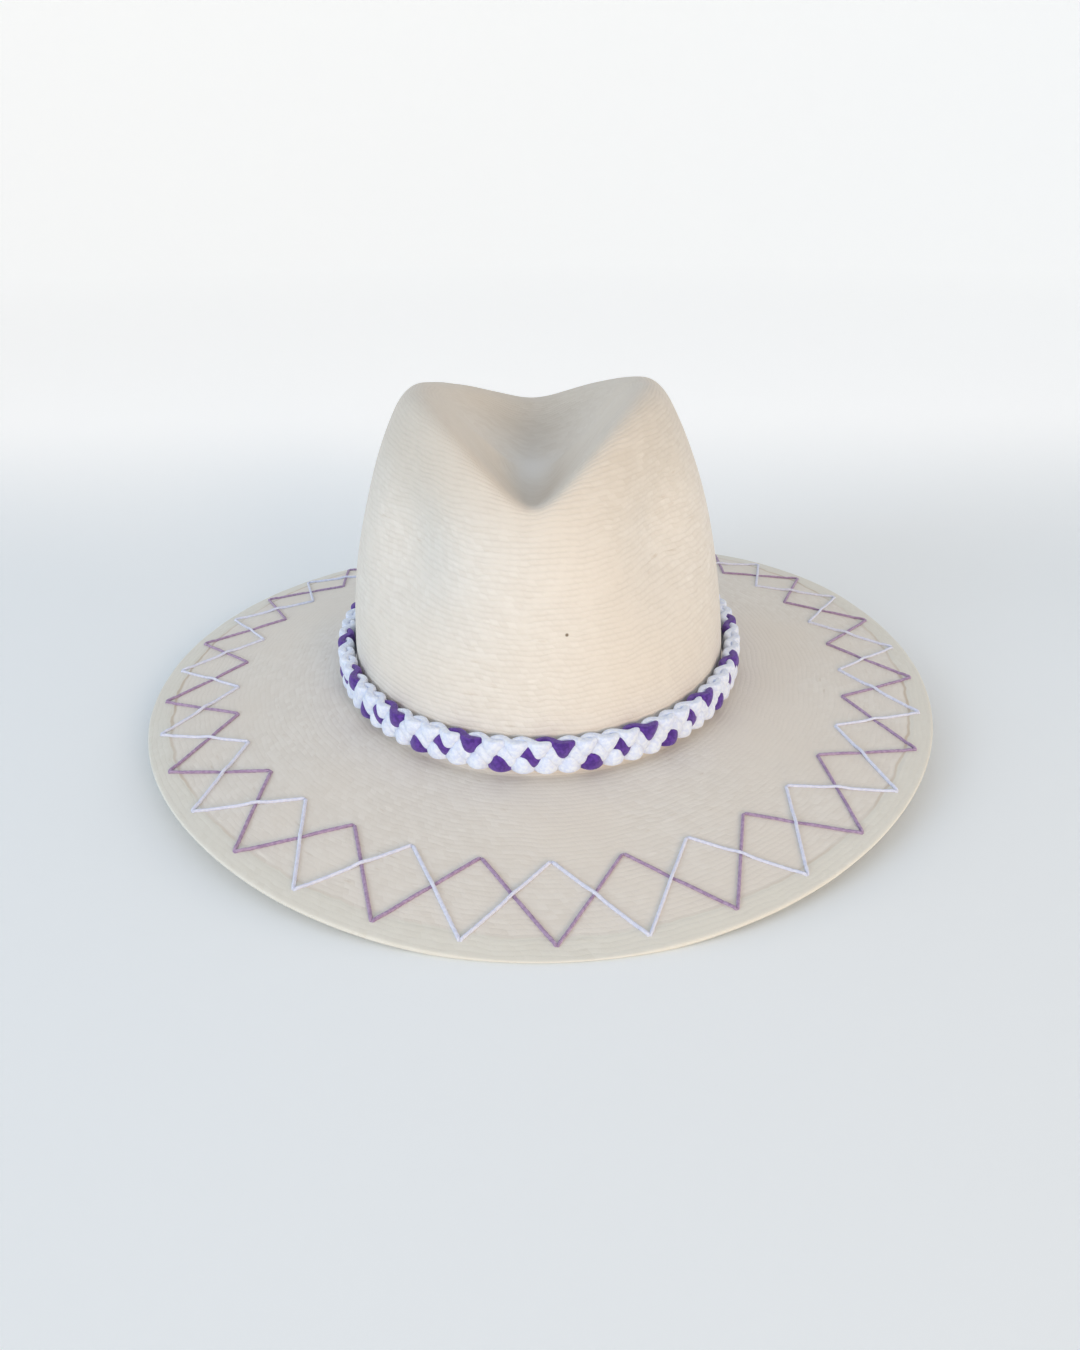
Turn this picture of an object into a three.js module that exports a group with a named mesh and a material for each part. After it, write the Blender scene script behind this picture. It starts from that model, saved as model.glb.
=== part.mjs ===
// A palm straw hat, with a braided yarn band.
// Crown and brim are woven in one piece, and the band is a flat braid of four soft yarns.
// Millimetres. +Z is up, -Y is the front of the hat, and +X is on the right as seen from the front.
// The shapes are worked out level, with z = 0 where the crown meets the brim. Then the whole hat is
// leaned forward a little, into the pose in which it stands on the front and rear of its own brim.
import * as THREE from 'three';

// The pose in which the hat stands
const pose = {
  leanForward: THREE.MathUtils.degToRad(2.56),
  lift: 21.5,
  shiftBack: -1,
};

// Points round the body. One of them lies exactly at the front and one at the rear
const pointsAround = 52;

// The crown: an oval dome that would be 169 mm high if it weren't creased
const crown = {
  halfWidth: 89.1,
  halfLength: 101.8,
  bandCentreY: -5.4,
  bandLineZ: 16.5,
  leanBack: 0.1,
  leanLeft: 0.012,
  openHeight: 169,
  wall: 2,
};

// How full the dome's profile is: 2 is an ellipse, and more is squarer
const fullness = { side: 2, front: 2.7, rear: 2 };

// The crease along the top: a valley whose floor rises to the front lip and to the rear rim
const crease = {
  centreX: -0.7,
  floorZ: 91.7,
  frontStart: 10,
  frontRise: 0.0015,
  rearStart: 14,
  rearRise: 0.005,
  flankSlope: 1.04,
  flankSlopeGrowth: 0.0038,
  floorRound: 5,
};

// The fold where the valley meets the dome: tight at the front lip, and wide over the two humps
const ridge = { lipY: -85, lipRound: 5, humpRound: 35 };

// The two finger dents at the front, and the slightly higher right side
const pinch = { depth: 11, fromFront: 48, spread: 22, centreZ: 67.5, reach: 29 };
const rightHigher = 0.009;

// Rings of the crown: shares of the climb from its foot to the ridge, then of the way in to the centre
const wallShares = [0.05, 0.2, 0.36, 0.52, 0.68, 0.82, 0.93, 1];
const topShares = [0.07, 0.17, 0.3, 0.45, 0.62, 0.8];

// The small curve from the crown into the brim
const fillet = { out: 1.3, up: 1.3 };

// The brim, and how high its edge lies round the hat
const brim = {
  halfWidth: 187,
  halfLength: 197.7,
  topOffset: 0.8,
  fallPower: 1.26,
  foldRound: 0.9,
};
const brimEdge = { mean: -13.6, rightUp: 2.6, rearDown: 8.8, sidesUp: 6.2, twist: 1.7, quartersUp: 1.5 };

// Rings of the brim, from the crown outwards. The edge is turned under as a hem of double thickness
const brimRings = [
  { across: 0.045, wall: 1.8 },
  { across: 0.25, wall: 1.8 },
  { across: 0.5, wall: 1.8 },
  { across: 0.75, wall: 1.8 },
  { across: 0.89, wall: 1.8 },
  { across: 0.9, wall: 2.6 },
  { across: 0.965, wall: 2.6 },
  { across: 0.992, wall: 2.6 },
];

// The hat band: four yarns, each a quarter of a repeat behind the one before
const band = {
  repeats: 17,
  stepsPerRepeat: 8,
  centreZ: 11,
  fromWall: 4.6,
  weaveHeight: 6.3,
  weaveDepth: 2.8,
  yarnWidth: 3.8,
  yarnThickness: 2.8,
  yarnSides: 6,
  firstTurn: 5.5,
};
const yarns = [
  { name: 'band_strand_purple', colour: 0x5f3796 },
  { name: 'band_strand_white_1', colour: 0xeeeefa },
  { name: 'band_strand_white_2', colour: 0xeeeefa },
  { name: 'band_strand_white_3', colour: 0xeeeefa },
];

const FRONT = 1.5 * Math.PI;

// The lower of two heights, with the corner between them rounded off
function roundedMin(a, b, round) {
  const share = THREE.MathUtils.clamp(0.5 + (0.5 * (b - a)) / round, 0, 1);
  return THREE.MathUtils.lerp(b, a, share) - round * share * (1 - share);
}

function profilePower(azimuth) {
  const along = Math.sin(azimuth);
  const end = along < 0 ? fullness.front : fullness.rear;
  return fullness.side + (end - fullness.side) * along * along;
}

function creaseHeight(x, y) {
  const ahead = Math.min(y - crease.frontStart, 0);
  const behind = Math.max(y - crease.rearStart, 0);
  const floor = crease.floorZ + crease.frontRise * ahead ** 2 + crease.rearRise * behind ** 2;
  const slope = crease.flankSlope - crease.flankSlopeGrowth * y;
  const aside = Math.hypot(x - crease.centreX, crease.floorRound) - crease.floorRound;
  return floor + slope * aside;
}

function ridgeRound(y) {
  const share = THREE.MathUtils.clamp((y - ridge.lipY) / -ridge.lipY, 0, 1);
  return THREE.MathUtils.lerp(ridge.lipRound, ridge.humpRound, share);
}

function ovalNormal(azimuth, halfWidth, halfLength) {
  const normal = new THREE.Vector3(Math.cos(azimuth) / halfWidth, Math.sin(azimuth) / halfLength, 0);
  return normal.normalize();
}

// The place on the uncreased dome's plan, at a height that it has there
function domePlan(azimuth, radiusShare, domeZ) {
  const centreY = crown.bandCentreY + crown.leanBack * (domeZ - crown.bandLineZ);
  return {
    x: crown.halfWidth * radiusShare * Math.cos(azimuth),
    y: centreY + crown.halfLength * radiusShare * Math.sin(azimuth),
  };
}

// A point of the outer face of the crown, from its place on the uncreased dome
function crownPoint(azimuth, radiusShare, domeZ) {
  const { x, y } = domePlan(azimuth, radiusShare, domeZ);
  const point = new THREE.Vector3(x, y, roundedMin(domeZ, creaseHeight(x, y), ridgeRound(y)));
  const inwards = ovalNormal(azimuth, crown.halfWidth, crown.halfLength).negate();
  for (const side of [-1, 1]) {
    const dentAzimuth = FRONT + side * THREE.MathUtils.degToRad(pinch.fromFront);
    const turn = THREE.MathUtils.euclideanModulo(azimuth - dentAzimuth + Math.PI, 2 * Math.PI) - Math.PI;
    const across = turn / THREE.MathUtils.degToRad(pinch.spread);
    const along = (point.z - pinch.centreZ) / pinch.reach;
    point.addScaledVector(inwards, pinch.depth * Math.exp(-across * across - along * along));
  }
  point.z *= 1 + (rightHigher * point.x) / crown.openHeight;
  point.x -= crown.leanLeft * point.z;
  return point;
}

// A climb of 0 is the dome's foot and a quarter turn is its top
function onDome(azimuth, climb) {
  const power = 2 / profilePower(azimuth);
  return { radiusShare: Math.cos(climb) ** power, domeZ: crown.openHeight * Math.sin(climb) ** power };
}

// The climb at which the dome meets the crease, found by halving
function ridgeClimb(azimuth) {
  let low = 0;
  let high = Math.PI / 2;
  for (let pass = 0; pass < 30; pass += 1) {
    const climb = (low + high) / 2;
    const { radiusShare, domeZ } = onDome(azimuth, climb);
    const { x, y } = domePlan(azimuth, radiusShare, domeZ);
    if (domeZ < creaseHeight(x, y)) {
      low = climb;
    } else {
      high = climb;
    }
  }
  return low;
}

function crownWallPoint(azimuth, share) {
  const { radiusShare, domeZ } = onDome(azimuth, share * ridgeClimb(azimuth));
  return crownPoint(azimuth, radiusShare, domeZ);
}

function crownTopPoint(azimuth, share) {
  const power = profilePower(azimuth);
  const radiusShare = onDome(azimuth, ridgeClimb(azimuth)).radiusShare * (1 - share);
  const domeZ = crown.openHeight * (1 - radiusShare ** power) ** (1 / power);
  return crownPoint(azimuth, radiusShare, domeZ);
}

function brimEdgePoint(azimuth) {
  const height = brimEdge.mean
    + brimEdge.rightUp * Math.cos(azimuth)
    - brimEdge.rearDown * Math.sin(azimuth)
    + brimEdge.sidesUp * Math.cos(2 * azimuth)
    + brimEdge.twist * Math.sin(2 * azimuth)
    - brimEdge.quartersUp * Math.cos(4 * azimuth);
  return new THREE.Vector3(brim.halfWidth * Math.cos(azimuth), brim.halfLength * Math.sin(azimuth), height);
}

// A point of the upper face of the brim: 0 across is the crown's foot and 1 is the edge
function brimPoint(azimuth, across) {
  const foot = crownWallPoint(azimuth, 0);
  const edge = brimEdgePoint(azimuth);
  const point = foot.clone().lerp(edge, across);
  point.z = edge.z * across ** brim.fallPower + brim.topOffset;
  return point;
}

function filletPoint(azimuth) {
  const outwards = ovalNormal(azimuth, crown.halfWidth, crown.halfLength);
  const point = crownWallPoint(azimuth, 0).addScaledVector(outwards, fillet.out);
  point.z = fillet.up;
  return point;
}

function ring(pointAt) {
  const points = [];
  for (let i = 0; i < pointsAround; i += 1) {
    points.push(pointAt((2 * Math.PI * i) / pointsAround));
  }
  return points;
}

// The outer face's normal at each point of a ring, from the points beside it
function ringNormals(rings, row) {
  const inner = rings[Math.max(row - 1, 0)];
  const outer = rings[Math.min(row + 1, rings.length - 1)];
  return rings[row].map((_, i) => {
    const next = rings[row][(i + 1) % pointsAround];
    const previous = rings[row][(i + pointsAround - 1) % pointsAround];
    const round = next.clone().sub(previous);
    const out = outer[i].clone().sub(inner[i]);
    return out.cross(round).normalize();
  });
}

function toStandingPose(point) {
  point.applyAxisAngle(new THREE.Vector3(1, 0, 0), pose.leanForward);
  point.z += pose.lift;
  point.y += pose.shiftBack;
  return point;
}

// A closed skin through rings of points, with a single point at each end
function skinGeometry(firstPoint, rings, lastPoint) {
  const points = [firstPoint, ...rings.flat(), lastPoint];
  const last = points.length - 1;
  const count = rings[0].length;
  const faces = [];
  for (let i = 0; i < count; i += 1) {
    const next = (i + 1) % count;
    faces.push(0, 1 + i, 1 + next);
    for (let row = 0; row < rings.length - 1; row += 1) {
      const here = 1 + row * count;
      const there = here + count;
      faces.push(here + i, there + i, there + next, here + i, there + next, here + next);
    }
    const end = 1 + (rings.length - 1) * count;
    faces.push(last, end + next, end + i);
  }
  return geometryFrom(points, faces);
}

// A closed tube whose last section joins the first
function loopGeometry(sections) {
  const sides = sections[0].length;
  const faces = [];
  sections.forEach((_, row) => {
    const here = row * sides;
    const there = ((row + 1) % sections.length) * sides;
    for (let i = 0; i < sides; i += 1) {
      const next = (i + 1) % sides;
      faces.push(here + i, there + i, there + next, here + i, there + next, here + next);
    }
  });
  return geometryFrom(sections.flat(), faces);
}

function geometryFrom(points, faces) {
  const geometry = new THREE.BufferGeometry().setFromPoints(points);
  geometry.setIndex(faces);
  geometry.computeVertexNormals();
  return geometry;
}

// Crown and brim: an outer face, the same face set in by the wall, and the folded edge between them
function palmBody() {
  const outer = [
    ...topShares.toReversed().map((share) => ring((azimuth) => crownTopPoint(azimuth, share))),
    ...wallShares.toReversed().map((share) => ring((azimuth) => crownWallPoint(azimuth, share))),
    ring(filletPoint),
    ...brimRings.map(({ across }) => ring((azimuth) => brimPoint(azimuth, across))),
  ];
  const firstBrimRow = outer.length - brimRings.length;
  const wallOf = (row) => (row < firstBrimRow ? crown.wall : brimRings[row - firstBrimRow].wall);
  const inner = outer.map((points, row) => {
    const normals = ringNormals(outer, row);
    return points.map((point, i) => point.clone().addScaledVector(normals[i], -wallOf(row)));
  });
  const topCentre = crownTopPoint(FRONT, 1);
  const underTopCentre = topCentre.clone().setZ(topCentre.z - crown.wall);
  [...outer, ...inner].flat().forEach(toStandingPose);
  // The hem is pressed flat where the hat stands on it
  inner.slice(firstBrimRow).flat().forEach((point) => {
    point.z = Math.max(point.z, 0);
  });
  const fold = outer.at(-1).map((point, i) => {
    const middle = point.clone().lerp(inner.at(-1)[i], 0.5);
    const outwards = new THREE.Vector3(middle.x, middle.y, 0).normalize();
    return middle.addScaledVector(outwards, brim.foldRound);
  });
  const rings = [...outer, fold, ...inner.toReversed()];
  return skinGeometry(toStandingPose(topCentre), rings, toStandingPose(underTopCentre));
}

// How far a yarn of the braid lies up or down, and out or in, at a share of its repeat
function weave(share) {
  const turn = 2 * Math.PI * share;
  return {
    up: band.weaveHeight * Math.cos(turn),
    out: band.weaveDepth * (0.207 * Math.sin(turn) + 1.207 * Math.sin(3 * turn)),
  };
}

// The oval that the middle of the braid follows
const bandHalfWidth = crown.halfWidth + band.fromWall;
const bandHalfLength = crown.halfLength + band.fromWall;
const bandOval = new THREE.EllipseCurve(0, crown.bandCentreY, bandHalfWidth, bandHalfLength, 0, 2 * Math.PI);
bandOval.arcLengthDivisions = 2000;

// A place on a yarn's centre line, with the direction that faces out of the crown's wall there
function yarnPlace(index, step) {
  const frontShare = 0.75 + band.firstTurn / bandOval.getLength();
  const share = frontShare + step / (band.repeats * band.stepsPerRepeat);
  const onOval = bandOval.getPointAt(THREE.MathUtils.euclideanModulo(share, 1));
  const azimuth = Math.atan2((onOval.y - crown.bandCentreY) / bandHalfLength, onOval.x / bandHalfWidth);
  const outwards = ovalNormal(azimuth, crown.halfWidth, crown.halfLength);
  const { up, out } = weave(step / band.stepsPerRepeat - index / yarns.length);
  const centre = new THREE.Vector3(onOval.x, onOval.y, band.centreZ + up).addScaledVector(outwards, out);
  centre.y += crown.leanBack * (centre.z - crown.bandLineZ);
  return { centre, outwards };
}

// The flattened section of a yarn, square to its course
function yarnSection(index, step) {
  const { centre, outwards } = yarnPlace(index, step);
  const ahead = yarnPlace(index, step + 0.02).centre;
  const behind = yarnPlace(index, step - 0.02).centre;
  const along = ahead.sub(behind).normalize();
  outwards.addScaledVector(along, -outwards.dot(along)).normalize();
  const sideways = along.clone().cross(outwards);
  const section = [];
  for (let i = 0; i < band.yarnSides; i += 1) {
    const turn = (2 * Math.PI * (i + 0.5)) / band.yarnSides;
    const point = centre.clone();
    point.addScaledVector(sideways, (band.yarnWidth / 2) * Math.cos(turn));
    point.addScaledVector(outwards, (band.yarnThickness / 2) * Math.sin(turn));
    section.push(toStandingPose(point));
  }
  return section;
}

function yarnLoop(index) {
  const sections = [];
  for (let step = 0; step < band.repeats * band.stepsPerRepeat; step += 1) {
    sections.push(yarnSection(index, step));
  }
  return loopGeometry(sections);
}

function namedMesh(name, geometry, colour, roughness) {
  const mesh = new THREE.Mesh(geometry, new THREE.MeshStandardMaterial({ color: colour, roughness, metalness: 0 }));
  mesh.name = name;
  return mesh;
}

const hat = new THREE.Group();
hat.add(namedMesh('palm_body', palmBody(), 0xe4dac8, 0.8));
yarns.forEach(({ name, colour }, index) => {
  hat.add(namedMesh(name, yarnLoop(index), colour, 0.95));
});

export default hat;
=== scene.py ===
"""A palm straw hat with a braided yarn band and an embroidered brim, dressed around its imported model.

+Z is up, -Y is the front of the hat, and +X is on the right as seen from the front.
The shapes are worked out level and in millimetres, with z = 0 where the crown meets the brim.
Then each mesh is leaned into the pose in which the hat stands, and scaled to metres.
"""
import math

import bpy
import numpy as np
from mathutils import Matrix, Vector
from mathutils.bvhtree import BVHTree


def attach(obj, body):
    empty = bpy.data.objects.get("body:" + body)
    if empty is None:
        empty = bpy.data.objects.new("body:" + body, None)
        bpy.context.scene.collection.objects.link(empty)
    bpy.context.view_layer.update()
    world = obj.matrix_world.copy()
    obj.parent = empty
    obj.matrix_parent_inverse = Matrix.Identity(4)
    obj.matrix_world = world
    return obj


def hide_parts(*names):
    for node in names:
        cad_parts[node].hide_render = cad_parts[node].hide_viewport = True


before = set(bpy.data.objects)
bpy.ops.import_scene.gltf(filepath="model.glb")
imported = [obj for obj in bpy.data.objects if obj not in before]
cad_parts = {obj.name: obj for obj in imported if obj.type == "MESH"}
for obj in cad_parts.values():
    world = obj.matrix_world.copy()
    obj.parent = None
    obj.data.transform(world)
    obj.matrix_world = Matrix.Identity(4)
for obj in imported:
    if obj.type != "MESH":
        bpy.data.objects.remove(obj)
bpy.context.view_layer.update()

MM = 0.001
FRONT = 1.5 * math.pi

# The pose in which the hat stands
LEAN_FORWARD = math.radians(2.56)
LIFT = 21.5
SHIFT_BACK = -1.0

# The crown: an oval dome that would be 169 mm high if it weren't creased
HALF_WIDTH = 89.1
HALF_LENGTH = 101.8
BAND_CENTRE_Y = -5.4
BAND_LINE_Z = 16.5
LEAN_BACK = 0.1
LEAN_LEFT = 0.012
OPEN_HEIGHT = 169.0
RIGHT_HIGHER = 0.009
FULL_SIDE = 2.0
FULL_FRONT = 2.7
FULL_REAR = 2.0

# The crease, and the fold where it meets the dome
CREASE_X = -0.7
CREASE_FLOOR = 91.7
FRONT_START = 10.0
FRONT_RISE = 0.00161
REAR_START = 14.0
REAR_RISE = 0.005
FLANK_SLOPE = 1.04
FLANK_GROWTH = 0.0038
LIP_FLOOR_ROUND = 8.0
FLOOR_ROUND = 15.0
FIT_ROUND = 5.0
FIT_ASIDE = 42.0
LIP_Y = -85.0
LIP_ROUND = 9.0
HUMP_ROUND = 35.0

# The two finger dents at the front
PINCH_DEPTH = 12.5
PINCH_FROM_FRONT = math.radians(45)
PINCH_SPREAD = math.radians(20)
PINCH_Z = 82.0
PINCH_REACH = 28.0
PINCH_INSIDE = 0.4

# The brim, and how high its edge lies round the hat
BRIM_HALF_WIDTH = 187.0
BRIM_HALF_LENGTH = 197.7
BRIM_TOP = 0.8
BRIM_FALL = 1.26
EDGE_MEAN = -13.6
EDGE_RIGHT_UP = 2.6
EDGE_REAR_DOWN = 8.8
EDGE_SIDES_UP = 6.2
EDGE_TWIST = 1.7
EDGE_QUARTERS_UP = 1.5

# How finely the straw is meshed
POINTS_AROUND = 320
TOP_RINGS = 54
WALL_RINGS = 66
FILLET_RINGS = 6
BRIM_RINGS = 84
INNER_STEP = 4
CROWN_WALL = 1.8
BRIM_WALL = 1.6
HEM_WALL = 2.4
HEM_START = 0.9
HEM_RAISED = 0.25
GROOVE_IN_FRONT = 0.08
GROOVE_MORE_ASIDE = 0.22

# The weave: rows that run round the hat, and strands that cross them
ROW_PITCH = 2.35
DOME_ROWS = 90.0
STRANDS_AT_FOOT = 190.0
STRANDS_MORE_PER_ROW = 4.6
HEM_ROW = -37.5

# A dark speck in the straw at the front of the crown, in millimetres as the hat stands
SPECK_PLACE = (10.7, -102.95, 76.4)

# The hat band: four soft yarns on the course that the model's slim yarns have
REPEATS = 17
STEPS_PER_REPEAT = 60
BAND_Z = 11.85
BAND_FROM_WALL = 4.4
WEAVE_HEIGHT = 3.95
WEAVE_DEPTH = 1.5
WEAVE_SLANT = 0.2
EDGE_FLATTENING = 0.085
BAND_REACH = 6.85
BAND_EDGE_ROUND = 1.0
YARN_WIDTH = 9.0
YARN_THICKNESS = 3.9
YARN_SIDES = 24
YARN_PLIES = 3
YARN_TWISTS = 3 * REPEATS
YARN_SWELLING = 0.025
FIRST_TURN = 5.5

# The embroidery: two zigzags of eighteen points each
ZIGZAG_POINTS = 18
OUTER_RING = 0.974
INNER_RING = 0.791
PURPLE_PHASE = 0.073
WHITE_PHASE = 0.565
STITCH_WIDTH = 1.45
STITCH_FLATNESS = 0.86
STITCH_STEP = 0.45
STITCH_SIDES = 10
STITCH_PLIES = 2
STITCH_SWELLING = 0.06
STEPS_PER_TWIST = 12

# The lights fan out only this far, so that they don't glare on the floor below them
LIGHT_SPREAD = math.radians(75)

# The far wall of the stage glows faintly, as a lit studio wall does
WALL_GLOW = 0.24

# The camera, level with the photograph's: the image is taken to be 1080 by 1350
CAMERA_PLACE = (-0.7, -434.6, 233.8)
CAMERA_AZIMUTH = math.radians(-0.14)
CAMERA_ELEVATION = math.radians(27.78)
CAMERA_ROLL = math.radians(-0.56)
CAMERA_LENS = 25.3


def unit(vectors):
    return vectors / np.linalg.norm(vectors, axis=-1, keepdims=True)


def rounded_min(a, b, rounding):
    """The lower of two heights, with the corner between them rounded off."""
    share = np.clip(0.5 + 0.5 * (b - a) / rounding, 0, 1)
    return b + (a - b) * share - rounding * share * (1 - share)


def profile_power(azimuth):
    along = np.sin(azimuth)
    end = np.where(along < 0, FULL_FRONT, FULL_REAR)
    return FULL_SIDE + (end - FULL_SIDE) * along ** 2


def crease_height(x, y):
    ahead = np.minimum(y - FRONT_START, 0)
    behind = np.maximum(y - REAR_START, 0)
    floor = CREASE_FLOOR + FRONT_RISE * ahead ** 2 + REAR_RISE * behind ** 2
    slope = FLANK_SLOPE - FLANK_GROWTH * y
    share = np.clip((y - LIP_Y) / -LIP_Y, 0, 1)
    rounding = LIP_FLOOR_ROUND + (FLOOR_ROUND - LIP_FLOOR_ROUND) * share
    steeper = (math.hypot(FIT_ASIDE, FIT_ROUND) - FIT_ROUND) / (np.hypot(FIT_ASIDE, rounding) - rounding)
    return floor + slope * steeper * (np.hypot(x - CREASE_X, rounding) - rounding)


def ridge_round(y):
    share = np.clip((y - LIP_Y) / -LIP_Y, 0, 1) ** 0.6
    return LIP_ROUND + (HUMP_ROUND - LIP_ROUND) * share


def oval_normal(azimuth, half_width, half_length):
    x = np.cos(azimuth) / half_width
    y = np.sin(azimuth) / half_length
    return unit(np.stack([x, y, np.zeros_like(x)], axis=-1))


def dome_plan(azimuth, radius_share, dome_z):
    centre_y = BAND_CENTRE_Y + LEAN_BACK * (dome_z - BAND_LINE_Z)
    x = HALF_WIDTH * radius_share * np.cos(azimuth)
    y = centre_y + HALF_LENGTH * radius_share * np.sin(azimuth)
    return x, y


def crown_point(azimuth, radius_share, dome_z):
    """A point of the outer face of the crown, from its place on the uncreased dome."""
    x, y = dome_plan(azimuth, radius_share, dome_z)
    z = rounded_min(dome_z, crease_height(x, y), ridge_round(y))
    inwards = -oval_normal(azimuth, HALF_WIDTH, HALF_LENGTH)
    off_centre = np.clip(radius_share / PINCH_INSIDE, 0, 1) ** 2
    points = np.stack([x, y, z], axis=-1)
    for side in (-1, 1):
        turn = (azimuth - FRONT - side * PINCH_FROM_FRONT + math.pi) % (2 * math.pi) - math.pi
        depth = np.exp(-(turn / PINCH_SPREAD) ** 2 - ((z - PINCH_Z) / PINCH_REACH) ** 2)
        points = points + inwards * (PINCH_DEPTH * depth * off_centre)[..., None]
    points[..., 2] *= 1 + RIGHT_HIGHER * points[..., 0] / OPEN_HEIGHT
    points[..., 0] -= LEAN_LEFT * points[..., 2]
    return points


def on_dome(azimuth, climb):
    power = 2 / profile_power(azimuth)
    return np.cos(climb) ** power, OPEN_HEIGHT * np.sin(climb) ** power


def ridge_climb(azimuth):
    """The climb at which the dome meets the crease, found by halving."""
    low = np.zeros_like(azimuth)
    high = np.full_like(azimuth, math.pi / 2)
    for _ in range(30):
        climb = (low + high) / 2
        radius_share, dome_z = on_dome(azimuth, climb)
        under = dome_z < crease_height(*dome_plan(azimuth, radius_share, dome_z))
        low = np.where(under, climb, low)
        high = np.where(under, high, climb)
    return low


def crown_wall(azimuth, share):
    radius_share, dome_z = on_dome(azimuth, share * ridge_climb(azimuth))
    return crown_point(azimuth, radius_share, dome_z), dome_z


def crown_top(azimuth, share):
    power = profile_power(azimuth)
    radius_share = on_dome(azimuth, ridge_climb(azimuth))[0] * (1 - share)
    dome_z = OPEN_HEIGHT * (1 - radius_share ** power) ** (1 / power)
    return crown_point(azimuth, radius_share, dome_z), dome_z


def brim_edge(azimuth):
    height = (EDGE_MEAN + EDGE_RIGHT_UP * np.cos(azimuth) - EDGE_REAR_DOWN * np.sin(azimuth)
              + EDGE_SIDES_UP * np.cos(2 * azimuth) + EDGE_TWIST * np.sin(2 * azimuth)
              - EDGE_QUARTERS_UP * np.cos(4 * azimuth))
    return np.stack([BRIM_HALF_WIDTH * np.cos(azimuth), BRIM_HALF_LENGTH * np.sin(azimuth), height], axis=-1)


def hem_relief(azimuth, across):
    """The shallow groove along the inner side of the hem, fainter in front, and the slightly raised hem."""
    groove_width, step_width = 0.008, 0.006
    depth = GROOVE_IN_FRONT + GROOVE_MORE_ASIDE * np.cos(azimuth) ** 2
    groove = depth * np.exp(-((across - HEM_START) / groove_width) ** 2)
    raised = HEM_RAISED / (1 + np.exp(-(across - HEM_START) / step_width))
    return raised - groove


def brim_point(azimuth, across):
    foot = crown_wall(azimuth, np.zeros_like(azimuth))[0]
    edge = brim_edge(azimuth)
    points = foot + (edge - foot) * across[..., None]
    points[..., 2] = edge[..., 2] * across ** BRIM_FALL + BRIM_TOP + hem_relief(azimuth, across)
    return points


def unevenness(points):
    """Slow waves of a hand-shaped hat, a few tenths of a millimetre high."""
    x, y, z = points[..., 0], points[..., 1], points[..., 2]
    return (0.22 * np.sin(x / 17 + 1.3 * np.sin(y / 31)) * np.sin(y / 23 + z / 19)
            + 0.12 * np.sin(x / 7.3 + y / 11) * np.sin(y / 8.1 - z / 9.7 + 0.8))


def to_standing(points):
    """From the level millimetres of the shapes to metres in the pose in which the hat stands."""
    x, y, z = points[..., 0], points[..., 1], points[..., 2]
    leaned_y = y * math.cos(LEAN_FORWARD) - z * math.sin(LEAN_FORWARD) + SHIFT_BACK
    leaned_z = y * math.sin(LEAN_FORWARD) + z * math.cos(LEAN_FORWARD) + LIFT
    return np.stack([x, leaned_y, leaned_z], axis=-1) * MM


def make_piece(name, points, faces, material, replaced=()):
    mesh = bpy.data.meshes.new(name)
    mesh.from_pydata(points.tolist(), [], faces)
    mesh.polygons.foreach_set("use_smooth", [True] * len(mesh.polygons))
    mesh.materials.append(material)
    mesh.update()
    piece = bpy.data.objects.new(name, mesh)
    bpy.context.scene.collection.objects.link(piece)
    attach(piece, "root")
    if replaced:
        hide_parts(*replaced)
    return piece


class Graph:
    """Adds nodes to a material. An input is given as a number, a colour or another node's output."""

    def __init__(self, name):
        self.material = bpy.data.materials.new(name)
        self.material.use_nodes = True
        self.tree = self.material.node_tree
        self.shader = self.tree.nodes["Principled BSDF"]

    def add(self, kind, inputs=(), output=0, **settings):
        node = self.tree.nodes.new("ShaderNode" + kind)
        for name, value in settings.items():
            setattr(node, name, value)
        for key, value in dict(inputs).items():
            self.feed(node.inputs[key], value)
        return node.outputs[output]

    def feed(self, socket, value):
        if isinstance(value, bpy.types.NodeSocket):
            self.tree.links.new(value, socket)
        else:
            socket.default_value = value

    def maths(self, operation, *values):
        return self.add("Math", enumerate(values), operation=operation)

    def mix(self, share, first, second, blend="MIX"):
        inputs = {0: share, 6: first, 7: second}
        return self.add("Mix", inputs, output=2, data_type="RGBA", blend_type=blend)

    def ramp(self, value, low, high):
        """0 up to a low value, 1 from a high one, and smooth between."""
        inputs = {0: value, 1: low, 2: high}
        return self.add("MapRange", inputs, interpolation_type="SMOOTHSTEP")

    def noise(self, vector, scale, detail=2.0):
        return self.add("TexNoise", {"Vector": vector, "Scale": scale, "Detail": detail})


def colour(red, green, blue):
    """A shader colour from the 0 to 255 numbers of a screen colour."""
    channels = [c / 255 for c in (red, green, blue)]
    linear = [c / 12.92 if c <= 0.04045 else ((c + 0.055) / 1.055) ** 2.4 for c in channels]
    return (*linear, 1.0)


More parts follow.
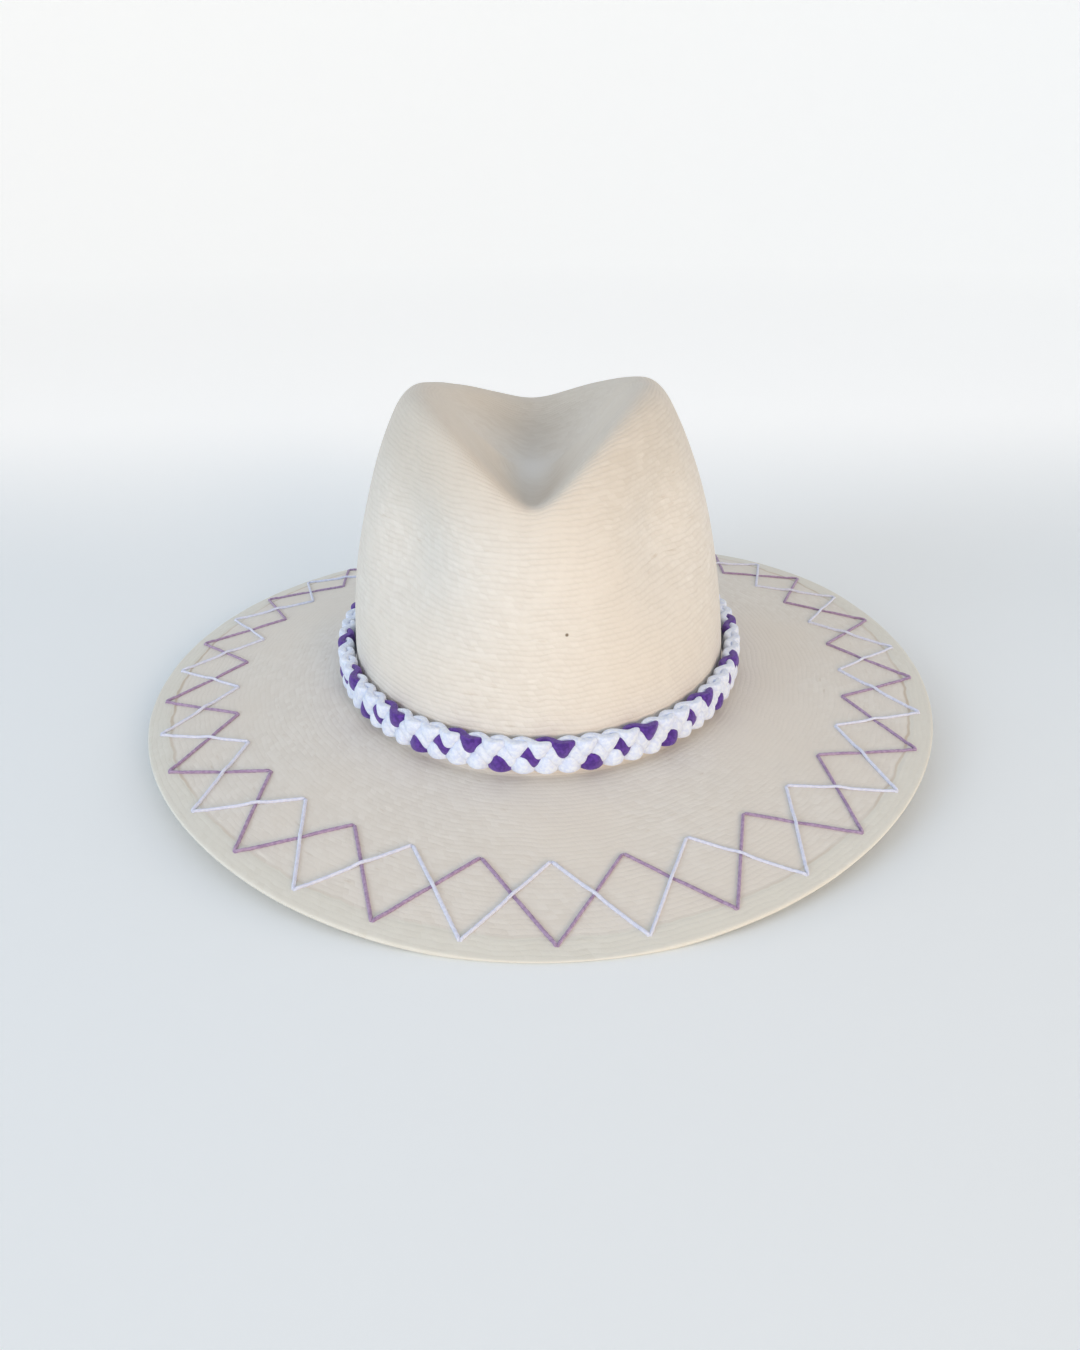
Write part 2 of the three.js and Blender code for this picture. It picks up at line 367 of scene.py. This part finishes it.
def straw_material():
    graph = Graph("palm_straw")
    weave = graph.add("SeparateXYZ", {0: graph.add("UVMap", uv_map="weave")}).node
    turn, row = weave.outputs[0], weave.outputs[1]
    place = graph.add("TexCoord", output=3)
    bend = graph.maths("MULTIPLY", graph.maths("SUBTRACT", graph.noise(place, 75.0), 0.5), 1.7)
    row = graph.maths("ADD", row, bend)
    row_number = graph.maths("FLOOR", row)
    row_part = graph.maths("FRACT", row)
    up_dome = graph.maths("DIVIDE", graph.maths("MAXIMUM", row_number, 0.0), DOME_ROWS)
    on_crown = graph.maths("COSINE", graph.maths("MULTIPLY", up_dome, math.pi / 2))
    on_brim = graph.maths("MULTIPLY", graph.maths("MINIMUM", row_number, 0.0), -STRANDS_MORE_PER_ROW)
    strands = graph.maths("ADD", graph.maths("MULTIPLY", on_crown, STRANDS_AT_FOOT), on_brim)
    along = graph.maths("MULTIPLY", turn, graph.maths("ROUND", strands))
    along = graph.maths("ADD", along, graph.maths("MULTIPLY", row, 0.42))
    strand_number = graph.maths("FLOOR", along)
    strand_part = graph.maths("FRACT", along)

    def bulge(part, power):
        aside = graph.maths("ABSOLUTE", graph.maths("SUBTRACT", graph.maths("MULTIPLY", part, 2.0), 1.0))
        return graph.maths("SUBTRACT", 1.0, graph.maths("POWER", aside, power))

    row_bulge = bulge(row_part, 2.2)
    strand_bulge = bulge(strand_part, 3.0)
    height = graph.maths("MULTIPLY", row_bulge, graph.maths("MULTIPLY_ADD", strand_bulge, 0.4, 0.6))
    cell = graph.add("CombineXYZ", {0: strand_number, 1: row_number})
    tone = graph.add("TexWhiteNoise", {"Vector": cell})
    fibres = graph.noise(place, 1400.0, 3.0)
    blotches = graph.noise(place, 14.0, 3.0)
    on_weave = graph.add("VectorMath", {0: graph.add("CombineXYZ", {0: along, 1: row}), 1: (0.6, 1.5, 1.0)},
                         operation="MULTIPLY")
    flecks = graph.noise(on_weave, 0.55, 3.0)

    straw = graph.mix(tone, colour(227, 221, 210), colour(233, 228, 218))
    below_top = graph.ramp(row, 78.0, 62.0)
    dark_fleck = graph.maths("MULTIPLY", graph.ramp(flecks, 0.62, 0.85), below_top)
    straw = graph.mix(dark_fleck, straw, colour(210, 199, 183))
    light_fleck = graph.maths("MULTIPLY", graph.ramp(flecks, 0.38, 0.24), below_top)
    straw = graph.mix(light_fleck, straw, colour(238, 233, 223))
    straw = graph.mix(graph.ramp(blotches, 0.4, 0.7), straw, colour(230, 223, 211))
    # Painted shade: the upper crown and the flanks of the crease are darkened a little.
    crown_top_shade = graph.maths("MULTIPLY", graph.ramp(row, 34.0, 54.0), graph.ramp(row, 86.0, 70.0))
    straw = graph.mix(crown_top_shade, straw, graph.mix(1.0, straw, colour(242, 239, 235), "MULTIPLY"))
    # Painted light: the crease floor at the top of the crown is tinted lighter.
    straw = graph.mix(graph.ramp(row, 82.0, 90.0), straw, colour(241, 238, 231))
    # Painted shade: the grooves between the straw's rows and strands are darkened, more on the crown than on
    # the brim and fading towards the top.
    groove_shade_strength = graph.maths("MULTIPLY_ADD", graph.ramp(row, -2.0, 6.0), 0.055, 0.03)
    groove_shade_strength = graph.maths("MULTIPLY", groove_shade_strength, graph.ramp(graph.noise(place, 130.0), 0.3, 0.62))
    aside = graph.maths("ABSOLUTE", graph.add("SeparateXYZ", {0: place}))
    side_rows = graph.maths("MULTIPLY", graph.ramp(aside, 0.03, 0.05), graph.ramp(row, 96.0, 82.0))
    clear_rows = graph.maths("MAXIMUM", graph.ramp(row, 78.0, 48.0), side_rows)
    groove_shade_strength = graph.maths("MULTIPLY", groove_shade_strength, clear_rows)
    shade = graph.maths("SUBTRACT", 1.0, height)
    straw = graph.mix(graph.maths("MULTIPLY", shade, groove_shade_strength), straw, colour(120, 104, 84))
    on_hem = graph.ramp(row, HEM_ROW + 0.3, HEM_ROW - 0.3)
    straw = graph.mix(graph.maths("MULTIPLY", on_hem, 0.4), straw, colour(224, 226, 213))
    from_line = graph.maths("ABSOLUTE", graph.maths("SUBTRACT", row, HEM_ROW))
    line = graph.maths("MULTIPLY", graph.ramp(from_line, 0.4, 0.1), graph.ramp(blotches, 0.3, 0.6))
    plainer_aside = graph.maths("MULTIPLY_ADD", graph.ramp(aside, 0.05, 0.16), 0.75, 0.15)
    line = graph.maths("MULTIPLY", line, plainer_aside)
    straw = graph.mix(line, straw, colour(206, 191, 170))
    speck = [v * MM for v in SPECK_PLACE]
    from_speck = graph.add("VectorMath", {0: place, 1: speck}, output=1, operation="DISTANCE")
    straw = graph.mix(graph.ramp(from_speck, 0.001, 0.0003), straw, colour(125, 110, 92))
    graph.feed(graph.shader.inputs["Base Color"], straw)
    graph.feed(graph.shader.inputs["Roughness"], graph.maths("MULTIPLY_ADD", fibres, 0.2, 0.52))
    graph.shader.inputs["Specular IOR Level"].default_value = 0.3
    graph.shader.inputs["Sheen Weight"].default_value = 0.08
    relief_share = graph.maths("MULTIPLY_ADD", graph.ramp(row, -2.0, 6.0), 0.6, 0.4)
    raised_rows = graph.maths("MAXIMUM", graph.ramp(row, 85.0, 55.0), side_rows)
    relief_share = graph.maths("MULTIPLY", relief_share, raised_rows)
    relief = graph.maths("MULTIPLY", height, relief_share)
    relief = graph.maths("ADD", relief, graph.maths("MULTIPLY", fibres, 0.35))
    bump = graph.add("Bump", {"Strength": 0.5, "Distance": 0.0003, "Height": relief})
    graph.feed(graph.shader.inputs["Normal"], bump)
    return graph.material


def yarn_material(name, light, dark, sheen):
    graph = Graph(name)
    place = graph.add("TexCoord", output=3)
    strands = graph.noise(place, 700.0, 4.0)
    fuzz = graph.noise(place, 2600.0, 3.0)
    base = graph.mix(graph.ramp(strands, 0.35, 0.65), dark, light)
    graph.feed(graph.shader.inputs["Base Color"], base)
    graph.shader.inputs["Roughness"].default_value = 0.9
    graph.shader.inputs["Specular IOR Level"].default_value = 0.2
    graph.shader.inputs["Sheen Weight"].default_value = sheen
    graph.shader.inputs["Sheen Roughness"].default_value = 0.6
    graph.shader.inputs["Subsurface Weight"].default_value = 0.35
    graph.shader.inputs["Subsurface Radius"].default_value = (1.0, 1.0, 1.0)
    graph.shader.inputs["Subsurface Scale"].default_value = 0.002
    relief = graph.maths("MULTIPLY_ADD", fuzz, 0.4, strands)
    bump = graph.add("Bump", {"Strength": 0.25, "Distance": 0.0003, "Height": relief})
    graph.feed(graph.shader.inputs["Normal"], bump)
    return graph.material


def arc_shares(half_width, half_length, azimuth):
    """How far round an oval each azimuth lies, as a share of its whole length."""
    fine = np.linspace(0, 2 * math.pi, 7201)
    outline = np.stack([half_width * np.cos(fine), half_length * np.sin(fine)], axis=-1)
    lengths = np.concatenate([[0], np.cumsum(np.linalg.norm(np.diff(outline, axis=0), axis=1))])
    return np.interp(azimuth, fine, lengths / lengths[-1]), lengths[-1]


def azimuth_at(half_width, half_length, share):
    """The azimuth on an oval that lies a share of its whole length round it."""
    fine = np.linspace(0, 2 * math.pi, 7201)
    shares = arc_shares(half_width, half_length, fine)[0]
    return np.interp(share % 1, shares, fine)


def dome_row(dome_z):
    """The row of the weave at a height of the uncreased dome, from 0 at its foot."""
    fine = np.linspace(0, math.pi / 2, 2000)
    mean_radius = (HALF_WIDTH + HALF_LENGTH) / 2
    profile = np.stack([mean_radius * np.cos(fine), OPEN_HEIGHT * np.sin(fine)], axis=-1)
    lengths = np.concatenate([[0], np.cumsum(np.linalg.norm(np.diff(profile, axis=0), axis=1))])
    return np.interp(dome_z, profile[:, 1], lengths) / ROW_PITCH


def grid_normals(grid):
    """Outward normals of a grid of rings, from the centre of the crown to the brim's edge."""
    out = np.gradient(grid, axis=0)
    around = np.roll(grid, -1, axis=1) - np.roll(grid, 1, axis=1)
    return unit(np.cross(out, around))


def body_rings():
    """The outer face as rings from the crown's centre to the brim's edge, and each point's row."""
    azimuth = (2 * math.pi * np.arange(POINTS_AROUND) / POINTS_AROUND)[None, :]
    ridge_share, top_crowding, wall_crowding = 0.985, 1.15, 0.9
    lowest_wall_z, first_across = 3.2, 0.034
    top_shares = ridge_share * (np.arange(TOP_RINGS, 0, -1) / TOP_RINGS)[:, None] ** top_crowding
    top, top_z = crown_top(azimuth, top_shares)
    lowest = lowest_wall_z / OPEN_HEIGHT / ridge_climb(azimuth)
    steps = (np.arange(WALL_RINGS, -1, -1) / WALL_RINGS)[:, None] ** wall_crowding
    wall, wall_z = crown_wall(azimuth, lowest + (1 - lowest) * steps)
    steps = (np.arange(BRIM_RINGS + 1) / BRIM_RINGS)[:, None]
    across = first_across + (1 - first_across) * steps + 0 * azimuth
    brim = brim_point(azimuth + 0 * across, across)
    corner = brim_point(azimuth, np.zeros_like(azimuth))
    turn = (np.arange(1, FILLET_RINGS) / FILLET_RINGS)[:, None, None]
    fillet = (1 - turn) ** 2 * wall[-1] + 2 * turn * (1 - turn) * corner + turn ** 2 * brim[0]
    grid = np.concatenate([top, wall, fillet, brim])
    brim_rows = -across * (BRIM_HALF_WIDTH - HALF_WIDTH) / ROW_PITCH
    fillet_rows = (1 - turn[..., 0]) * dome_row(wall_z[-1]) + turn[..., 0] * brim_rows[0]
    rows = [dome_row(top_z), dome_row(wall_z), fillet_rows, brim_rows]
    hem_step = 0.004
    hem_share = 1 / (1 + np.exp(-(across[:, 0] - HEM_START) / hem_step))
    walls = [CROWN_WALL] * (len(grid) - len(brim)) + list(BRIM_WALL + (HEM_WALL - BRIM_WALL) * hem_share)
    return azimuth[0], grid, np.concatenate(rows), np.array(walls)


def make_body(material):
    thinnest, edge_bulge = 0.4 * MM, 1.0 * MM
    azimuth, outer, rows, walls = body_rings()
    normals = grid_normals(outer)
    outer = outer + normals * unevenness(outer)[..., None]
    inner = outer - normals * walls[:, None, None]
    brim_z = np.maximum(to_standing(inner)[..., 2], 0)
    kept = np.unique(np.concatenate([np.arange(0, len(outer), INNER_STEP), [len(outer) - 1]]))
    outer_m, inner_m = to_standing(outer), to_standing(inner)
    inner_m[..., 2] = brim_z
    outer_m[..., 2] = np.maximum(outer_m[..., 2], inner_m[..., 2] + thinnest)
    edge_out = unit((outer[-1] - outer[-4]) * [1, 1, 0])
    middle = (outer_m[-1] + inner_m[-1]) / 2
    half = (outer_m[-1] - inner_m[-1]) / 2
    fold = []
    for angle in np.radians([60, 30, 0, -30, -60]):
        fold.append(middle + half * math.sin(angle) + edge_out * (edge_bulge * math.cos(angle)))
    rings = np.concatenate([outer_m, fold, inner_m[kept][::-1]])
    ring_rows = np.concatenate([rows, np.repeat(rows[-1:], len(fold), axis=0), rows[kept][::-1]])
    count = POINTS_AROUND
    shares = arc_shares(HALF_WIDTH, HALF_LENGTH, np.append(azimuth, 2 * math.pi))[0]
    base = np.arange(len(rings) - 1)[:, None] * count
    here = np.arange(count)[None, :]
    after = (here + 1) % count
    quads = np.stack([base + here, base + count + here, base + count + after, base + after], axis=-1)
    columns = np.stack([here, here, here + 1, here + 1], axis=-1) + 0 * base[..., None]
    quads, columns = quads.reshape(-1, 4), columns.reshape(-1, 4)
    first, last = len(rings) * count, len(rings) * count + 1
    start = (len(rings) - 1) * count
    top_fan = [(first, i, (i + 1) % count) for i in range(count)]
    under_fan = [(last, start + (i + 1) % count, start + i) for i in range(count)]
    centre = outer_m[0].mean(axis=0)
    under = inner_m[0].mean(axis=0)
    points = np.concatenate([rings.reshape(-1, 3), [centre, under]])
    body = make_piece("straw_body", points, quads.tolist() + top_fan + under_fan, material,
                      ["palm_body"])
    all_rows = np.append(ring_rows.ravel(), [ring_rows[0].mean(), ring_rows[0].mean()])
    quad_uv = np.stack([shares[columns], all_rows[quads]], axis=-1).reshape(-1, 2)
    fans = np.array(top_fan + under_fan)
    fan_uv = np.stack([np.zeros(fans.shape), all_rows[fans]], axis=-1).reshape(-1, 2)
    layer = body.data.uv_layers.new(name="weave")
    layer.data.foreach_set("uv", np.concatenate([quad_uv, fan_uv]).ravel())
    level_quads = quads[: (len(outer) - 1) * count]
    return BVHTree.FromPolygons(outer.reshape(-1, 3).tolist(), level_quads.tolist())


def tube(centres, sideways, outwards, widths, thicknesses, sides, plies, turns, swelling):
    """A closed tube of twisted plies: its points and its faces."""
    sections = len(centres)
    angle = 2 * math.pi * (np.arange(sides) + 0.5) / sides
    angle = angle[None, :]
    turned = 2 * math.pi * turns * (np.arange(sections) / sections)[:, None]
    swell = 1 + swelling * np.cos(plies * (angle - turned))
    across = (widths[:, None] / 2 * np.cos(angle) * swell)[..., None] * sideways[:, None, :]
    up = (thicknesses[:, None] / 2 * np.sin(angle) * swell)[..., None] * outwards[:, None, :]
    points = centres[:, None, :] + across + up
    base = np.arange(sections)[:, None] * sides
    beyond = (base + sides) % (sections * sides)
    here = np.arange(sides)[None, :]
    after = (here + 1) % sides
    faces = np.stack([base + here, beyond + here, beyond + after, base + after], axis=-1)
    return points.reshape(-1, 3), faces.reshape(-1, 4)


def band_yarn(index):
    """One yarn of the braid, fat where it lies on top and pressed where it turns under."""
    half_width, half_length = HALF_WIDTH + BAND_FROM_WALL, HALF_LENGTH + BAND_FROM_WALL
    length = arc_shares(half_width, half_length, np.zeros(1))[1]
    step = np.arange(REPEATS * STEPS_PER_REPEAT)
    turn = 2 * math.pi * (step / STEPS_PER_REPEAT - index / 4)
    slanted = FIRST_TURN - WEAVE_SLANT * np.cos(turn)
    azimuth = azimuth_at(half_width, half_length, 0.75 + slanted / length + step / len(step))
    outwards = oval_normal(azimuth, HALF_WIDTH, HALF_LENGTH)
    up = WEAVE_HEIGHT * (np.cos(turn) - EDGE_FLATTENING * np.cos(3 * turn)) / (1 - EDGE_FLATTENING)
    once_share = 0.207
    out = WEAVE_DEPTH * (once_share * np.sin(turn) + (1 + once_share) * np.sin(3 * turn))
    x, y = half_width * np.cos(azimuth), BAND_CENTRE_Y + half_length * np.sin(azimuth)
    centres = np.stack([x, y, BAND_Z + up], axis=-1) + outwards * out[:, None]
    centres[:, 1] += LEAN_BACK * (centres[:, 2] - BAND_LINE_Z)
    along = unit(np.roll(centres, -1, axis=0) - np.roll(centres, 1, axis=0))
    outwards = unit(outwards - along * np.sum(outwards * along, axis=1, keepdims=True))
    sideways = np.cross(along, outwards)
    pressed = 1 + 0.05 * out / WEAVE_DEPTH
    points, faces = tube(centres, sideways, outwards, YARN_WIDTH * pressed, YARN_THICKNESS * pressed,
                         YARN_SIDES, YARN_PLIES, YARN_TWISTS, YARN_SWELLING)
    height = rounded_min(points[:, 2] - BAND_Z, BAND_REACH, BAND_EDGE_ROUND)
    points[:, 2] = BAND_Z - rounded_min(-height, BAND_REACH, BAND_EDGE_ROUND)
    return points, faces


def make_band(purple, white):
    names = ["purple", "white_1", "white_2", "white_3"]
    for index, name in enumerate(names):
        points, faces = band_yarn(index)
        material = white if index else purple
        make_piece("soft_yarn_" + name, to_standing(points), faces.tolist(), material,
                   ["band_strand_" + name])


def zigzag_corners(phase):
    """The plan places of a zigzag's corners, outer and inner by turns."""
    places = []
    for i in range(2 * ZIGZAG_POINTS):
        share = 0.75 + (i / 2 + phase) / ZIGZAG_POINTS
        azimuth = float(azimuth_at(BRIM_HALF_WIDTH, BRIM_HALF_LENGTH, np.array(share)))
        ring = INNER_RING if i % 2 else OUTER_RING
        places.append(np.array([ring * BRIM_HALF_WIDTH * math.cos(azimuth),
                                ring * BRIM_HALF_LENGTH * math.sin(azimuth)]))
    return places


def crossing_places(start, end, others):
    """How far along a leg, in millimetres, the legs of the other zigzag cross it."""
    found = []
    leg = end - start
    for first, second in zip(others, others[1:] + others[:1]):
        other = second - first
        cross = leg[0] * other[1] - leg[1] * other[0]
        gap = first - start
        on_leg = (gap[0] * other[1] - gap[1] * other[0]) / cross
        on_other = (gap[0] * leg[1] - gap[1] * leg[0]) / cross
        if 0 < on_leg < 1 and 0 < on_other < 1:
            found.append(on_leg * np.linalg.norm(leg))
    return found


def zigzag_path(corners, others, brim_tree, over):
    """The course of a zigzag: long stitches on the brim, joined by a short loop under each corner."""
    hole_gap, rise_length, sunk, crossing_width = 0.15, 1.0, 0.7, 3.6
    resting = 0.3 * STITCH_WIDTH
    lift = (0.5 if over else -0.3) * STITCH_WIDTH
    places, heights = [], []
    for i, corner in enumerate(corners):
        beyond = corners[(i + 1) % len(corners)]
        aside = np.array([-corner[1], corner[0]]) / np.linalg.norm(corner) * hole_gap
        aside_beyond = np.array([-beyond[1], beyond[0]]) / np.linalg.norm(beyond) * hole_gap
        start, end = corner + aside, beyond - aside_beyond
        length = np.linalg.norm(end - start)
        steps = int(length / STITCH_STEP)
        crossings = crossing_places(start, end, others)
        for step in range(steps + 1):
            distance = length * step / steps
            from_end = min(distance, length - distance)
            rise = min(from_end / rise_length, 1.0)
            height = -sunk + (sunk + resting) * math.sin(rise * math.pi / 2)
            for crossing in crossings:
                height += lift * math.exp(-((distance - crossing) / crossing_width) ** 2)
            places.append(start + (end - start) * step / steps)
            heights.append(height)
        for depth, share in ((-2.2, 0.0), (-2.7, 0.3), (-2.7, 0.7), (-2.2, 1.0)):
            places.append(end + 2 * aside_beyond * share)
            heights.append(depth)
    course = []
    for place, height in zip(places, heights):
        hit, normal, _, _ = brim_tree.ray_cast(Vector((*place, 60.0)), Vector((0, 0, -1)))
        course.append(np.array(hit) + np.array(normal) * height)
    return np.array(course)


def zigzag_tube(course):
    along = unit(np.roll(course, -1, axis=0) - np.roll(course, 1, axis=0))
    outwards = np.zeros_like(course)
    carried = np.array([0.0, 0.0, 1.0])
    for i, direction in enumerate(along):
        carried = carried - direction * carried.dot(direction)
        carried /= np.linalg.norm(carried)
        outwards[i] = carried
    sideways = np.cross(along, outwards)
    widths = np.full(len(course), STITCH_WIDTH)
    return tube(course, sideways, outwards, widths, STITCH_FLATNESS * widths,
                STITCH_SIDES, STITCH_PLIES, len(course) // STEPS_PER_TWIST, STITCH_SWELLING)


def make_zigzags(brim_tree, purple, white):
    purple_corners, white_corners = zigzag_corners(PURPLE_PHASE), zigzag_corners(WHITE_PHASE)
    for name, corners, others, over, material in (
            ("purple", purple_corners, white_corners, False, purple),
            ("white", white_corners, purple_corners, True, white)):
        course = zigzag_path(corners, others, brim_tree, over)
        points, faces = zigzag_tube(course)
        standing = to_standing(points)
        standing[:, 2] = np.maximum(standing[:, 2], 0.05 * MM)
        make_piece("zigzag_" + name, standing, faces.tolist(), material)


def make_stage():
    """A pale floor that curves up into a pale wall, far from the hat on all sides."""
    flat, rounding, height, columns = 2.6, 1.6, 3.3, 96
    profile = [(0.3, 0.0), (1.2, 0.0), (flat, 0.0)]
    for i in range(1, 17):
        angle = math.pi / 2 * i / 16
        profile.append((flat + rounding * math.sin(angle), rounding * (1 - math.cos(angle))))
    profile.append((flat + rounding, height))
    points = [(0, 0, 0)]
    for radius, z in profile:
        for i in range(columns):
            angle = 2 * math.pi * i / columns
            points.append((radius * math.cos(angle), radius * math.sin(angle), z))
    faces = [(0, 1 + i, 1 + (i + 1) % columns) for i in range(columns)]
    for ring in range(len(profile) - 1):
        here = 1 + ring * columns
        for i in range(columns):
            after = (i + 1) % columns
            faces.append((here + i, here + columns + i, here + columns + after, here + after))
    mesh = bpy.data.meshes.new("floor")
    mesh.from_pydata(points, [], faces)
    mesh.polygons.foreach_set("use_smooth", [True] * len(faces))
    floor = bpy.data.objects.new("floor", mesh)
    bpy.context.scene.collection.objects.link(floor)
    graph = Graph("pale_floor")
    graph.shader.inputs["Base Color"].default_value = colour(250, 254, 254)
    graph.shader.inputs["Roughness"].default_value = 0.85
    graph.shader.inputs["Specular IOR Level"].default_value = 0.2
    place = graph.add("TexCoord", output=3)
    level = graph.add("VectorMath", {0: place, 1: (1, 1, 0)}, operation="MULTIPLY")
    from_hat = graph.add("VectorMath", {0: level}, output=1, operation="LENGTH")
    behind = graph.add("SeparateXYZ", {0: place}, output=1)
    glow = graph.maths("MAXIMUM", graph.ramp(from_hat, 0.3, 3.1), graph.ramp(behind, 0.1, 0.65))
    glow = graph.maths("MULTIPLY", glow, WALL_GLOW)
    graph.shader.inputs["Emission Color"].default_value = (1.0, 0.88, 0.78, 1.0)
    graph.feed(graph.shader.inputs["Emission Strength"], glow)
    mesh.materials.append(graph.material)


def make_light(name, place, aim, size, watts, tint):
    data = bpy.data.lights.new(name, "AREA")
    data.shape = "DISK"
    data.size = size
    data.energy = watts
    data.color = tint
    data.spread = LIGHT_SPREAD
    light = bpy.data.objects.new(name, data)
    light.location = place
    light.rotation_mode = "QUATERNION"
    light.rotation_quaternion = (Vector(aim) - Vector(place)).to_track_quat("-Z", "Y")
    light.visible_camera = False
    bpy.context.scene.collection.objects.link(light)


def make_lights():
    hat = (0, 0, 0.06)
    make_light("key", (0.85, -1.75, 0.5), hat, 0.7, 2.08, (1.0, 0.7, 0.45))
    make_light("fill", (-1.5, -1.2, 0.7), hat, 1.0, 1.75, (0.555, 0.75, 1.0))
    world = bpy.data.worlds.new("studio")
    world.use_nodes = True
    background = world.node_tree.nodes["Background"]
    background.inputs["Color"].default_value = (0.845, 0.898, 1.0, 1.0)
    background.inputs["Strength"].default_value = 0.565
    bpy.context.scene.world = world


def make_camera():
    azimuth, elevation = CAMERA_AZIMUTH, CAMERA_ELEVATION
    back = Vector((math.sin(azimuth) * math.cos(elevation),
                   -math.cos(azimuth) * math.cos(elevation), math.sin(elevation)))
    level_right = Vector((math.cos(azimuth), math.sin(azimuth), 0))
    level_up = back.cross(level_right)
    right = level_right * math.cos(CAMERA_ROLL) + level_up * math.sin(CAMERA_ROLL)
    up = back.cross(right)
    data = bpy.data.cameras.new("camera")
    data.lens = CAMERA_LENS
    data.clip_start = 0.01
    data.clip_end = 50
    camera = bpy.data.objects.new("camera", data)
    turned = Matrix((right, up, back)).transposed().to_4x4()
    camera.matrix_world = Matrix.Translation(Vector(CAMERA_PLACE) * MM) @ turned
    bpy.context.scene.collection.objects.link(camera)
    bpy.context.scene.camera = camera
    bpy.context.scene.view_settings.view_transform = "Standard"


make_camera()
make_stage()
make_lights()
yarn_purple = yarn_material("yarn_purple", colour(96, 57, 158), colour(73, 40, 128), 0.25)
yarn_white = yarn_material("yarn_white", colour(233, 241, 255), colour(217, 227, 251), 0.2)
stitch_purple = yarn_material("stitch_purple", colour(178, 156, 184), colour(156, 132, 164), 0.15)
stitch_white = yarn_material("stitch_white", colour(224, 228, 246), colour(212, 217, 238), 0.15)
brim_surface = make_body(straw_material())
make_band(yarn_purple, yarn_white)
make_zigzags(brim_surface, stitch_purple, stitch_white)
